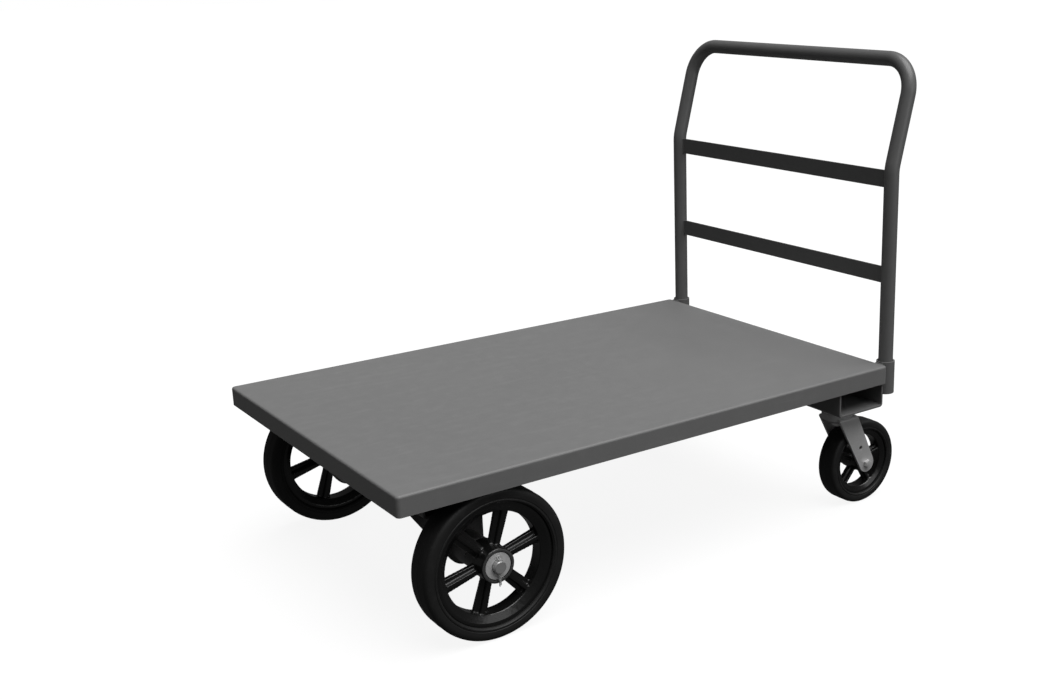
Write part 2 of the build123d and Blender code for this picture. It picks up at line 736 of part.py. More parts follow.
def make_crossbar(label, top_above_deck):
    """Flat bar between the two uprights, its ends hollowed to fit the round tube."""
    with BuildPart() as tube_body:
        with BuildSketch(Plane.XY.offset(tube_bottom)):
            with Locations((handle_x, -handle_y)):
                Circle(handle_tube_diameter / 2)
        sweep(path=handle_path())
    with BuildPart() as crossbar:
        with BuildSketch(Plane.XY.offset(deck_top + top_above_deck)):
            with Locations((handle_x, 0)):
                Rectangle(crossbar_thickness, 2 * handle_y)
        extrude(amount=-crossbar_height)
        add(tube_body.part, mode=Mode.SUBTRACT)
    crossbar.part.label = label
    export_step(crossbar.part, f"parts/{label}.step")


def make_handle_socket(name, side):
    """Short pipe welded to the rear flange, with a stop ring at the bottom."""
    with BuildPart() as socket:
        with BuildSketch(Plane.XY.offset(socket_bottom)):
            with Locations((handle_x, side * handle_y)):
                Circle(socket_diameter / 2)
                Circle(socket_stop_bore / 2, mode=Mode.SUBTRACT)
        extrude(amount=socket_length)
        with BuildSketch(Plane.XY.offset(socket_bottom + socket_stop)):
            with Locations((handle_x, side * handle_y)):
                Circle(socket_bore / 2)
        extrude(amount=socket_length, mode=Mode.SUBTRACT)
        with BuildSketch(Plane.XY.offset(socket_bottom)):
            with Locations((deck_rear, side * handle_y)):
                Rectangle(socket_diameter, socket_diameter, align=(Align.MAX, Align.CENTER))
        extrude(amount=socket_length, mode=Mode.SUBTRACT)
    socket.part.label = f"handle_socket_{name}"
    export_step(socket.part, f"parts/handle_socket_{name}.step")


# ================================================================ build
os.makedirs("parts", exist_ok=True)
make_deck_pan()
make_deck_stiffener()
make_axle_channel()
make_caster_channel()
make_axle()
make_handle_tube()
make_crossbar("upper_crossbar", upper_bar_above_deck)
make_crossbar("lower_crossbar", lower_bar_above_deck)
for name, side in sides.items():
    make_axle_hanger(name, side)
    make_axle_boss(name, side)
    make_washer(f"inner_washer_{name}", side * inner_washer_y, inner_washer_thickness)
    make_washer(f"outer_washer_{name}", side * outer_washer_y, washer_thickness)
    make_cotter_pin(name, side)
    make_front_wheel(name, side)
    make_caster_plate(name, side)
    make_kingpin_group(name, side)
    make_caster_balls(name, side)
    make_caster_fork(name, side)
    make_caster_axle_group(name, side)
    make_caster_wheel(name, side)
    make_handle_socket(name, side)
print("cart length", round(cart_length, 2), "deck top", round(deck_top, 2),
      "deck front", round(deck_front, 2), "channel under", round(channel_under, 2))
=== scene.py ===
# %% [markdown]
# # A flat steel platform cart
# The cart is already designed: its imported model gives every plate, tube and wheel in its real
# place, in metres. This lesson dresses that model. Some CAD pieces keep their mesh and only get
# a finish, others are hidden and stood for by a better mesh of the same size.

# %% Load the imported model
import math

import bmesh
import bpy
from mathutils import Matrix, Vector, noise


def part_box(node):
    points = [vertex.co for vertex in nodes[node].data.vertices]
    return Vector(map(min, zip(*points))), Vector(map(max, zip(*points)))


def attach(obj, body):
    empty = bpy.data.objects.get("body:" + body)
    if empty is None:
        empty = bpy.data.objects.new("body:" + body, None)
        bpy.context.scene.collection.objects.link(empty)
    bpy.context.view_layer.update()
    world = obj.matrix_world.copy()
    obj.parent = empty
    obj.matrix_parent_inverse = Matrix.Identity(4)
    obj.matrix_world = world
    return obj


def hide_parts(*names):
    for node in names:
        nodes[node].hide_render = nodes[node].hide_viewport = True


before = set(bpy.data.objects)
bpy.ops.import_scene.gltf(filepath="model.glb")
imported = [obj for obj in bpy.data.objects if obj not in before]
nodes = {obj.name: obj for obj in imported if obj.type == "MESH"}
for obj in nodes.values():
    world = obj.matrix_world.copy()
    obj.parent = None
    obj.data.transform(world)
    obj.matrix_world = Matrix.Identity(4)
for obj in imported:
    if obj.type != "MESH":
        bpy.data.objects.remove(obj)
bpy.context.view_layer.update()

SIDES = {"left": -1, "right": 1}

# %% [markdown]
# Every later size is read from the model's boxes, so nothing is measured twice. A wheel needs
# its centre, its radius and its width, and those are half sums and half differences.

# %% Read sizes from the boxes
def middle(node):
    low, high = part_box(node)
    return (low + high) / 2


def size(node):
    low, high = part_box(node)
    return high - low


MM = 0.001
deck_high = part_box("deck_pan")[1]
axle_centre = middle("axle")
print("deck top", round(deck_high.z, 4), "axle height", round(axle_centre.z, 4))

# %% [markdown]
# ## Arithmetic on sockets
# A finish is mostly arithmetic: masks multiplied, noise added to a roughness. Wiring Math nodes
# by hand hides that, so a small class wraps a socket and turns each operator into a Math node.
# Shader trees and geometry trees share that node, so both are built on the same bench.

# %% A socket that does arithmetic
class Wire:
    """One output socket in a node tree, used like a number."""

    def __init__(self, bench, socket):
        self.bench = bench
        self.socket = socket

    def maths(self, operation, first, second=0.0):
        return self.bench.node("ShaderNodeMath", {"operation": operation}, {0: first, 1: second})

    def __add__(self, other):
        return self.maths("ADD", self, other)

    def __sub__(self, other):
        return self.maths("SUBTRACT", self, other)

    def __rsub__(self, other):
        return self.maths("SUBTRACT", other, self)

    def __mul__(self, other):
        return self.maths("MULTIPLY", self, other)

    def __truediv__(self, other):
        return self.maths("DIVIDE", self, other)

    __radd__ = __add__
    __rmul__ = __mul__


# %% [markdown]
# Every other node comes from one method. It takes the node's type, its settings and what feeds
# its sockets, in that order, because some settings change which sockets a node has.

# %% The bench that node trees are built on
class Bench:
    """Adds nodes to self.tree."""

    def node(self, kind, settings=None, feeds=None, out=0):
        made = self.tree.nodes.new(kind)
        for name, value in (settings or {}).items():
            if name == "stops":
                for element, (place, level) in zip(made.color_ramp.elements, value):
                    element.position = place
                    element.color = (level, level, level, 1)
            else:
                setattr(made, name, value)
        for socket, value in (feeds or {}).items():
            if isinstance(value, Wire):
                self.tree.links.new(value.socket, made.inputs[socket])
            else:
                made.inputs[socket].default_value = value
        return Wire(self, made.outputs[out])

    def maths_of(self, operation, value):
        return self.node("ShaderNodeMath", {"operation": operation}, {0: value})


class Finish(Bench):
    """A material with a Principled shader."""

    def __init__(self, name, **constants):
        self.material = bpy.data.materials.new(name)
        self.material.use_nodes = True
        self.tree = self.material.node_tree
        self.shader = self.tree.nodes["Principled BSDF"]
        for socket, value in constants.items():
            self.shader.inputs[socket.replace("_", " ")].default_value = value

    def place(self, x=1.0, y=1.0, z=1.0):
        """Object coordinates, stretched along each axis."""
        where = self.node("ShaderNodeTexCoord", out=3)
        return self.node("ShaderNodeMapping", None, {"Vector": where, "Scale": (x, y, z)})

    def noise(self, scale, detail=2.0, roughness=0.5, stretch=(1, 1, 1), seed=0.0):
        """Noise between 0 and 1; scale is in bumps per metre."""
        feeds = {"Vector": self.place(*stretch), "W": seed, "Scale": scale}
        feeds.update({"Detail": detail, "Roughness": roughness})
        return self.node("ShaderNodeTexNoise", {"noise_dimensions": "4D"}, feeds)

    def ramp(self, value, low, high):
        """0 below low, 1 above high, straight between."""
        stops = [(low, 0.0), (high, 1.0)]
        return self.node("ShaderNodeValToRGB", {"stops": stops}, {"Fac": value})

    def blend(self, factor, first, second):
        """Colour mix; first and second are colours or sockets."""
        feeds = {0: factor, 6: first, 7: second}
        return self.node("ShaderNodeMix", {"data_type": "RGBA"}, feeds, out=2)

    def bump(self, height, distance, strength=1.0, under=None):
        feeds = {"Height": height, "Distance": distance, "Strength": strength}
        if under:
            feeds["Normal"] = under
        return self.node("ShaderNodeBump", None, feeds)

    def feed(self, **sockets):
        for name, value in sockets.items():
            socket = self.shader.inputs[name.replace("_", " ")]
            self.tree.links.new(value.socket, socket)
        return self.material


def grey(value, warm=0.0):
    """A neutral colour, with a very small warm or cool shift."""
    return (value * (1 + warm), value, value * (1 - warm), 1)


# %% [markdown]
# ## Baked enamel
# The deck, the frame and the handle are steel with grey baked enamel. Sprayed enamel is not one
# flat grey: it is a little thicker here and thinner there, it dries with a fine orange peel, and
# the sheet under it is not perfectly flat. Dust and handling add faint pale rubs. Each of those
# is one noise at its own scale, so the grey stays calm from far and is alive from near.

# %% Enamel finishes
def enamel(name, value, roughness, rubs=0.5, peel=0.12):
    finish = Finish(name, IOR=1.5)
    cloud = finish.noise(2.3, 3.0, 0.55)
    mottle = finish.noise(38.0, 4.0, 0.6, seed=3.0)
    speck = finish.noise(520.0, 2.0, 0.5, seed=5.0)
    streak = finish.noise(9.0, 5.0, 0.62, stretch=(1.0, 9.0, 6.0), seed=8.0)
    scratch = finish.ramp(finish.noise(30.0, 2.0, 0.4, stretch=(0.35, 14.0, 8.0), seed=12.0), 0.69, 0.76)
    rub = finish.ramp(streak * 0.75 + mottle * 0.25, 0.50, 0.78) * rubs
    dust = finish.ramp(speck, 0.70, 0.80) * 0.25
    tone = cloud * 0.45 + mottle * 0.35 + speck * 0.2
    base = finish.blend(tone, grey(value * 0.86, -0.004), grey(value * 1.12, 0.004))
    worn = finish.blend(rub * 0.22 + scratch * rubs * 0.16 + dust * 0.35, base, grey(min(1.0, value * 1.9)))
    sheen = roughness + mottle * 0.10 + rub * 0.12 - cloud * 0.05
    flat = finish.bump(finish.noise(5.0, 2.0, 0.4, seed=21.0), 0.0009, 0.5)
    skin = finish.bump(finish.noise(260.0, 2.0, 0.45, seed=23.0), 0.00012, peel * 4, flat)
    return finish.feed(Base_Color=worn, Roughness=sheen, Normal=skin)


deck_enamel = enamel("deck_enamel", 0.192, 0.50)
frame_enamel = enamel("frame_enamel", 0.16, 0.42, rubs=0.35)
handle_enamel = enamel("handle_enamel", 0.16, 0.34, rubs=0.35)
bar_enamel = enamel("bar_enamel", 0.12, 0.42, rubs=0.35)
print("enamels", [m.name for m in bpy.data.materials if "enamel" in m.name])

# %% [markdown]
# ## Rubber
# Moulded black rubber is dull but not flat: the mould leaves a fine grain, the sides keep a thin
# bloom of wax, and the tread picks up floor dust where it rolls.

# %% Tyre rubber
def rubber(name):
    finish = Finish(name, IOR=1.48)
    bloom = finish.noise(14.0, 4.0, 0.6, seed=2.0)
    grain = finish.noise(700.0, 3.0, 0.6, seed=4.0)
    smear = finish.ramp(finish.noise(45.0, 5.0, 0.65, seed=6.0), 0.52, 0.74)
    black = finish.blend(bloom * 0.7 + grain * 0.3, grey(0.0085), grey(0.016))
    dusty = finish.blend(smear * 0.25, black, grey(0.045, 0.02))
    sheen = 0.50 + bloom * 0.12 + smear * 0.12
    skin = finish.bump(grain, 0.0001, 0.5, finish.bump(bloom, 0.0006, 0.3))
    return finish.feed(Base_Color=dusty, Roughness=sheen, Normal=skin)


tyre_rubber = rubber("tyre_rubber")

# %% [markdown]
# ## Enamelled cast iron
# The wheel centres are sand castings dipped in black gloss enamel. The sand leaves pits and lumps
# a millimetre or two across that the paint rounds off, and the wet gloss shows every one of them
# as a broken highlight. A coat layer over a rough bump gives a softer form of it.

# %% Wheel iron
def black_iron(name):
    finish = Finish(name, IOR=1.5, Coat_Roughness=0.14, Coat_Weight=0.35)
    sand = finish.noise(420.0, 4.0, 0.62, seed=1.0)
    lumps = finish.noise(95.0, 3.0, 0.5, seed=7.0)
    pool = finish.noise(22.0, 2.0, 0.5, seed=9.0)
    black = finish.blend(sand * 0.5 + pool * 0.5, grey(0.0045), grey(0.010))
    rust = finish.ramp(finish.noise(60.0, 5.0, 0.7, seed=11.0), 0.70, 0.80)
    tired = finish.blend(rust * 0.35, black, (0.030, 0.024, 0.020, 1))
    sheen = 0.22 + sand * 0.14 + rust * 0.3
    skin = finish.bump(sand, 0.00018, 0.45, finish.bump(lumps, 0.0008, 0.45))
    return finish.feed(Base_Color=tired, Roughness=sheen, Normal=skin)


wheel_iron = black_iron("wheel_iron")


def faced_iron(name):
    """The hub's end face is machined after casting and wears a thin satin coat."""
    finish = Finish(name, IOR=1.5)
    marks = finish.noise(700.0, 2.0, 0.6, seed=3.0)
    grime = finish.noise(90.0, 4.0, 0.6, seed=5.0)
    satin = finish.blend(grime, grey(0.045), grey(0.075))
    sheen = grime * 0.15 + 0.42
    return finish.feed(Base_Color=satin, Roughness=sheen, Normal=finish.bump(marks, 0.00006, 0.5))


hub_face = faced_iron("hub_face")

# %% [markdown]
# ## Zinc and machined steel
# Forks, washers and bolts are zinc plated: a pale metal with a faint cloudy bloom and rolling
# marks that run along the strip. The axle is plain turned steel, so its marks run round it.

# %% Plated and turned metal
def zinc(name, value, roughness, stretch, metal_share=0.35):
    finish = Finish(name, Metallic=metal_share)
    bloom = finish.noise(16.0, 4.0, 0.6, seed=2.0)
    spangle = finish.node("ShaderNodeTexVoronoi", None, {"Vector": finish.place(), "Scale": 240.0})
    rolled = finish.noise(60.0, 3.0, 0.6, stretch=stretch, seed=5.0)
    stain = finish.ramp(finish.noise(30.0, 5.0, 0.65, seed=8.0), 0.58, 0.78)
    tone = bloom * 0.5 + spangle * 0.2 + rolled * 0.3
    metal = finish.blend(tone, grey(value * 0.80, -0.008), grey(min(1.0, value * 1.12), 0.006))
    dull = finish.blend(stain * 0.4, metal, grey(value * 0.55, 0.02))
    sheen = roughness + bloom * 0.10 + stain * 0.14
    skin = finish.bump(rolled, 0.00012, 0.5, finish.bump(bloom, 0.0004, 0.3))
    return finish.feed(Base_Color=dull, Roughness=sheen, Normal=skin)


plated = zinc("zinc_plate", 0.74, 0.42, (1.0, 9.0, 9.0))
fork_zinc = zinc("fork_zinc", 0.66, 0.46, (9.0, 9.0, 1.0))
bolt_zinc = zinc("bolt_zinc", 0.90, 0.26, (4.0, 4.0, 4.0), 0.55)
pin_zinc = zinc("pin_zinc", 0.92, 0.30, (4.0, 4.0, 4.0), 0.55)


def turned_steel(name, value, roughness):
    """Marks run round an axis along Y, so only the height along Y drives them."""
    finish = Finish(name, Metallic=0.4)
    lathe_marks = finish.noise(900.0, 2.0, 0.6, stretch=(0.02, 1.0, 0.02))
    oil = finish.noise(25.0, 4.0, 0.6, seed=4.0)
    tone = lathe_marks * 0.5 + oil * 0.5
    metal = finish.blend(tone, grey(value * 0.75), grey(value * 1.15))
    sheen = roughness + oil * 0.18
    skin = finish.bump(lathe_marks, 0.00006, 0.6)
    return finish.feed(Base_Color=metal, Roughness=sheen, Normal=skin)


turned = turned_steel("turned_steel", 0.42, 0.28)

# %% [markdown]
# ## Dress the CAD nodes
# Plates, tubes and channels already have their true shape, so they keep their mesh and take a
# finish on their own material slots.

# %% Finish for each node
def dress(material, *names):
    for name in names:
        nodes[name].data.materials.clear()
        nodes[name].data.materials.append(material)


def both(*names):
    return [f"{name}_{side}" for name in names for side in SIDES]


dress(deck_enamel, "deck_pan")
dress(frame_enamel, "deck_stiffener", "axle_channel", "caster_channel")
dress(frame_enamel, *both("axle_hanger", "axle_boss", "handle_socket"))
dress(handle_enamel, "handle_tube")
dress(bar_enamel, "upper_crossbar", "lower_crossbar")
dress(tyre_rubber, *both("front_tyre", "caster_tyre"))
dress(wheel_iron, *both("front_wheel_core", "caster_wheel_core"))
dress(plated, *both("inner_washer", "outer_washer", "caster_plate", "kingpin"))
dress(fork_zinc, *both("caster_fork"))
dress(bolt_zinc, *both("cotter_pin", "caster_axle_bolt", "caster_axle_nut", "kingpin_nut"))
dress(turned, "axle")
dress(turned, *both("ball_retainer", "swivel_balls", "caster_axle_bushing", "caster_roller_cage"))
dress(turned, *both("front_bearing_race", "front_roller_cage"))

# %% [markdown]
# ## Shapes made by turning
# Tyres, rims and hubs are round about the wheel's own axis, so each is one outline that is
# turned. An outline is a list of corners with a radius on each, because a cast or moulded
# edge is never sharp, and it is the small radius that catches the light.

# %% Outlines and the lathe
def arc(centre, start, end, steps):
    """Points on the arc from start to end; both are seen from the centre."""
    angle = start.angle(end)
    points = []
    for step in range(steps + 1):
        share = step / steps
        spot = start * math.sin((1 - share) * angle) + end * math.sin(share * angle)
        points.append(centre + spot / math.sin(angle))
    return points


def corner_arc(before, here, after, radius, steps):
    """The arc that replaces the corner at here, on the way from before to after."""
    back = (before - here).normalized()
    ahead = (after - here).normalized()
    half = back.angle(ahead) / 2
    centre = here + (back + ahead).normalized() * (radius / math.sin(half))
    start = here + back * (radius / math.tan(half)) - centre
    end = here + ahead * (radius / math.tan(half)) - centre
    return arc(centre, start, end, steps)


def rounded(corners, steps=4):
    """A closed outline from corners (x, y, radius), with an arc at each corner."""
    outline = []
    for k, (x, y, radius) in enumerate(corners):
        here = Vector((x, y))
        if radius == 0:
            outline.append(here)
            continue
        before = Vector(corners[k - 1][:2])
        after = Vector(corners[(k + 1) % len(corners)][:2])
        outline += corner_arc(before, here, after, radius, steps)
    return outline


def turn(bm, centre, outline, steps):
    """Turn a closed outline of (place along Y, radius), in millimetres, round an axis along Y."""
    rings = []
    for along, radius in outline:
        ring = []
        for k in range(steps):
            angle = 2 * math.pi * k / steps
            spot = Vector((radius * math.cos(angle), along, radius * math.sin(angle)))
            ring.append(bm.verts.new(Vector(centre) + spot * MM))
        rings.append(ring)
    for first, second in zip(rings, rings[1:] + rings[:1]):
        for k in range(steps):
            ahead = (k + 1) % steps
            bm.faces.new((first[k], first[ahead], second[ahead], second[k]))


# %% [markdown]
# Every finished piece goes through the same last step. Its doubles are merged and its faces are
# turned outwards, then it takes its finish, rides on its body and stands for its CAD node.

# %% Finish a piece
def tidy(bm):
    bmesh.ops.remove_doubles(bm, verts=bm.verts, dist=1e-6)
    bmesh.ops.recalc_face_normals(bm, faces=bm.faces)
    if bm.calc_volume(signed=True) < 0:
        bmesh.ops.reverse_faces(bm, faces=bm.faces)


def to_mesh(bm, name):
    mesh = bpy.data.meshes.new(name)
    bm.to_mesh(mesh)
    bm.free()
    return mesh


def add_object(name, mesh):
    made = bpy.data.objects.new(name, mesh)
    bpy.context.scene.collection.objects.link(made)
    return made


def settle(name, mesh, finish, body, slot, *stands_for, sharp=35):
    """Make the mesh a visible piece of one body."""
    mesh.polygons.foreach_set("use_smooth", [True] * len(mesh.polygons))
    mesh.set_sharp_from_angle(angle=math.radians(sharp))
    mesh.materials.clear()
    mesh.materials.append(finish)
    made = add_object(name, mesh)
    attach(made, body)
    if stands_for:
        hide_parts(*stands_for)
    print(name, "on", body, "faces", len(mesh.polygons))
    return made


def evaluated(made):
    """The plain mesh that an object's modifiers give; the object itself is removed."""
    bpy.context.view_layer.update()
    graph = bpy.context.evaluated_depsgraph_get()
    mesh = bpy.data.meshes.new_from_object(made.evaluated_get(graph))
    bpy.data.objects.remove(made)
    return mesh


# %% [markdown]
# ## Geometry Nodes for what repeats
# Spokes, mould vents and weld ripples repeat by a rule, so a node tree makes them. A tree is built
# here in the same way as a finish, with the same node() method, and its sizes are named inputs.
# It always ends in Realize Instances and Set Material, so that a plain mesh comes out.

# %% A node tree under construction
class Growth(Bench):
    """A Geometry Nodes tree; given holds its named inputs as wires."""

    KINDS = {float: "NodeSocketFloat", int: "NodeSocketInt", tuple: "NodeSocketVector"}

    def __init__(self, name, **inputs):
        self.tree = bpy.data.node_groups.new(name, "GeometryNodeTree")
        face = self.tree.interface
        face.new_socket("Geometry", in_out="INPUT", socket_type="NodeSocketGeometry")
        face.new_socket("Geometry", in_out="OUTPUT", socket_type="NodeSocketGeometry")
        for label, value in inputs.items():
            kind = value if isinstance(value, str) else self.KINDS[type(value)]
            socket = face.new_socket(label, in_out="INPUT", socket_type=kind)
            if not isinstance(value, str):
                socket.default_value = value
        source = self.tree.nodes.new("NodeGroupInput")
        self.given = {socket.name: Wire(self, socket) for socket in source.outputs if socket.name}

    def end(self, geometry):
        """Realise, set the material and hand the geometry out."""
        real = self.node("GeometryNodeRealizeInstances", None, {"Geometry": geometry})
        feeds = {"Geometry": real, "Material": self.given["Material"]}
        dressed = self.node("GeometryNodeSetMaterial", None, feeds)
        sink = self.tree.nodes.new("NodeGroupOutput")
        self.tree.links.new(dressed.socket, sink.inputs["Geometry"])


def grow(tree, mesh, **values):
    """Run a tree on a mesh with the given inputs and return the plain mesh."""
    seed = add_object("seed", mesh)
    modifier = seed.modifiers.new("grow", "NODES")
    modifier.node_group = tree
    for item in tree.interface.items_tree:
        if item.in_out == "INPUT" and item.name in values:
            modifier[item.identifier] = values[item.name]
    return evaluated(seed)


# %% [markdown]
# The first tree sets copies of a mesh round a wheel's axle. Copy number n is turned by the phase
# plus n equal steps. A turn about +Y takes +X down, so the angle is negated.

# %% Tree: copies round an axle
def ring_tree():
    tree = Growth("copies_round_an_axle", Count=6, Phase=0.0, Centre=(0.0, 0.0, 0.0),
                  Material="NodeSocketMaterial")
    given = tree.given
    feeds = {"Count": given["Count"], "Position": given["Centre"]}
    points = tree.node("GeometryNodePoints", None, feeds)
    number = tree.node("GeometryNodeInputIndex")
    angle = given["Phase"] + number * (2 * math.pi) / given["Count"]
    turns = tree.node("ShaderNodeCombineXYZ", None, {"Y": 0 - angle})
    feeds = {"Points": points, "Instance": given["Geometry"],
             "Rotation": tree.node("FunctionNodeEulerToRotation", None, {0: turns})}
    tree.end(tree.node("GeometryNodeInstanceOnPoints", None, feeds))
    return tree.tree


round_axle = ring_tree()
print("tree", round_axle.name, "inputs", [item.name for item in round_axle.interface.items_tree])

# %% [markdown]
# ## Tyres
# Each tyre is a solid rubber ring moulded on its rim. Its sidewall has a raised bead next to the
# rim and a shallow groove outside it, its tread is slightly crowned, and the two mould halves
# leave a fine line in the middle. The outline is turned, and the vents that the mould leaves on
# the shoulders are tiny stubs, set round the tyre by the tree above.

# %% Tyre outline
def tyre_outline(outer, inner, half, shoulder):
    depth = outer - inner
    side = [
        (half - 0.10 * depth, inner, 0.6),
        (half - 0.06 * depth, inner + 0.06 * depth, 0.5),
        (half - 0.1, inner + 0.10 * depth, 0.6),
        (half - 0.1, inner + 0.19 * depth, 0.5),
        (half - 1.1, inner + 0.22 * depth, 0.3),
        (half - 1.1, inner + 0.27 * depth, 0.3),
        (half - 0.2, inner + 0.30 * depth, 0.8),
        (half, outer - 0.45 * depth, 3.0),
        (half - 0.4, outer - 0.35, shoulder),
        (0.9, outer - 0.35, 0.2),
        (0.5, outer, 0.2),
    ]
    return rounded(side + [(-along, radius, bend) for along, radius, bend in reversed(side)])


def vent_stub():
    """A short thin stub that stands along +Y, for the shoulder of a tyre."""
    bm = bmesh.new()
    bmesh.ops.create_cone(bm, cap_ends=True, segments=8, radius1=0.7 * MM, radius2=0.45 * MM, depth=1.4 * MM)
    bmesh.ops.rotate(bm, verts=bm.verts, matrix=Matrix.Rotation(math.radians(-90), 3, "X"))
    return bm


def make_tyre(kind, side, body, shoulder, vents):
    node = f"{kind}_tyre_{side}"
    core = f"{kind}_wheel_core_{side}"
    outer, half, inner = size(node).x / 2 / MM, size(node).y / 2 / MM, size(core).x / 2 / MM
    bm = bmesh.new()
    turn(bm, middle(node), tyre_outline(outer, inner, half, shoulder), 144)
    tidy(bm)
    settle(f"{node}_moulded", to_mesh(bm, node), tyre_rubber, body, "rubber", node, sharp=50)
    stubs = bmesh.new()
    for face in (-1, 1):
        stub = vent_stub()
        if face < 0:
            bmesh.ops.rotate(stub, verts=stub.verts, matrix=Matrix.Rotation(math.pi, 3, "X"))
        spot = Vector((outer - 0.42 * (outer - inner), face * (half - 0.9), 0)) * MM
        bmesh.ops.translate(stub, verts=stub.verts, vec=spot)
        stubs.from_mesh(to_mesh(stub, "stub"))
    mesh = grow(round_axle, to_mesh(stubs, "stubs"), Count=vents, Phase=0.3,
                Centre=middle(node)[:], Material=tyre_rubber)
    settle(f"{node}_vents", mesh, tyre_rubber, body, "rubber")


for side in SIDES:
    make_tyre("front", side, f"front_wheel_{side}", shoulder=9.0, vents=18)
    make_tyre("caster", side, f"caster_wheel_{side}", shoulder=7.0, vents=12)

# %% [markdown]
# ## Cast wheel centres
# A wheel centre is one iron casting: rim, hub, and spokes of a flat web with a deep rib on both
# sides. Molten iron can't fill a sharp inner corner, so every joint has a fillet of a few
# millimetres. Modelling those fillets one by one is slow. Here rim, hub and spokes are simply
# pushed into each other, a voxel remesh fuses them into one skin, and smoothing that skin rounds
# each corner by about the same radius, as the casting has it. It rounds the front hub's recess
# too, which the outer washer sits in.

# %% One spoke
def spoke_mesh(start, end, hub_width, rim_width, web, rib, rib_depth):
    """A tapered web along +X with a rib through its middle, in millimetres."""
    bm = bmesh.new()
    boxes = [
        (hub_width / 2, rim_width / 2, web / 2, end),
        (rib / 2, rib / 2, rib_depth / 2, end - 3),
    ]
    for at_hub, at_rim, deep, stop in boxes:
        corners = []
        for x, half in ((start, at_hub), (stop, at_rim)):
            for y, z in ((-deep, -half), (deep, -half), (deep, half), (-deep, half)):
                corners.append(bm.verts.new(Vector((x, y, z)) * MM))
        bmesh.ops.contextual_create(bm, geom=corners[:4])
        bmesh.ops.contextual_create(bm, geom=corners[4:])
        for k in range(4):
            ahead = (k + 1) % 4
            bm.faces.new((corners[k], corners[ahead], corners[4 + ahead], corners[4 + k]))
    bmesh.ops.recalc_face_normals(bm, faces=bm.faces)
    return to_mesh(bm, "spoke")


# %% Fuse and smooth a casting
def cast(mesh, voxel, rounds, grain):
    """Voxel remesh, smooth, then lift the skin by a fine sand grain."""
    made = add_object("casting", mesh)
    remesh = made.modifiers.new("fuse", "REMESH")
    remesh.mode = "VOXEL"
    remesh.voxel_size = voxel * MM
    smooth = made.modifiers.new("fillets", "SMOOTH")
    smooth.factor = 0.5
    smooth.iterations = rounds
    skin = evaluated(made)
    bm = bmesh.new()
    bm.from_mesh(skin)
    tidy(bm)
    bm.normal_update()
    for vert in bm.verts:
        vert.co += vert.normal * noise.noise(vert.co * 180) * grain * MM
    return to_mesh(bm, "casting")


def make_core(kind, side, body, rim, hub, spokes, voxel):
    node = f"{kind}_wheel_core_{side}"
    centre = middle(node)
    radius, half_hub = size(node).x / 2 / MM, size(node).y / 2 / MM
    rim_depth, rim_half, land = rim
    hub_radius, bore, recess_radius, recess = hub
    count, phase, hub_width, rim_width, web, rib, rib_depth = spokes
    window = radius - rim_depth
    shoulder = radius - rim_depth / 3
    outward = SIDES[side]
    parts = bmesh.new()
    rim_corners = [(-land, window, 0), (land, window, 0), (rim_half, shoulder, 0), (rim_half, radius, 0),
                   (-rim_half, radius, 0), (-rim_half, shoulder, 0)]
    turn(parts, centre, rounded(rim_corners), 160)
    chamfer = 1.6
    hub_corners = [(-half_hub, bore), (-half_hub, hub_radius - chamfer), (-half_hub + chamfer, hub_radius),
                   (half_hub - chamfer, hub_radius), (half_hub, hub_radius - chamfer)]
    if recess:
        hub_corners += [(half_hub, recess_radius), (half_hub - recess, recess_radius),
                        (half_hub - recess, bore)]
    else:
        hub_corners.append((half_hub, bore))
    turn(parts, centre, [(along * outward, height) for along, height in hub_corners], 96)
    tidy(parts)
    start, end = (hub_radius + bore) / 2, window + rim_depth / 2
    one = spoke_mesh(start, end, hub_width, rim_width, web, rib, rib_depth)
    ring = grow(round_axle, one, Count=count, Phase=math.radians(phase), Centre=centre[:],
                Material=wheel_iron)
    parts.from_mesh(ring)
    mesh = cast(to_mesh(parts, node), voxel, rounds=3, grain=0.12)
    made = settle(f"{node}_casting", mesh, wheel_iron, body, "wheel_iron", node, sharp=80)
    made.data.materials.append(hub_face)
    for polygon in made.data.polygons:
        flat = abs(polygon.normal.y) > 0.9 and abs(polygon.center.y - centre.y) > (half_hub - 1.2) * MM
        polygon.material_index = 1 if flat else 0


# rim: depth, half width, half width of its inner face
# hub: radius, bore, radius of the recess, depth of the recess
# spokes: count, first angle, width at the hub, width at the rim, web, rib, depth of the rib
for side in SIDES:
    make_core("front", side, f"front_wheel_{side}", rim=(22.0, 24.0, 15.0),
              hub=(35.4, 21.9, 27.8, 4.6), spokes=(6, 13.5, 24.0, 31.0, 10.0, 9.0, 27.0), voxel=1.7)
    make_core("caster", side, f"caster_wheel_{side}", rim=(14.0, 20.0, 14.0),
              hub=(24.0, 14.7, 0, 0), spokes=(5, 13.0, 15.0, 18.0, 8.0, 7.0, 24.0), voxel=1.5)

# %% [markdown]
# ## Soft edges on plate and bar
# Sheared plate, sawn pipe and flat bar have edges with a small burr-free radius, under a skin of
# paint. The CAD model leaves them sharp, which looks like paper. A merged copy of the node with
# its coplanar triangles dissolved can be bevelled, and weighted normals keep the flat faces flat.

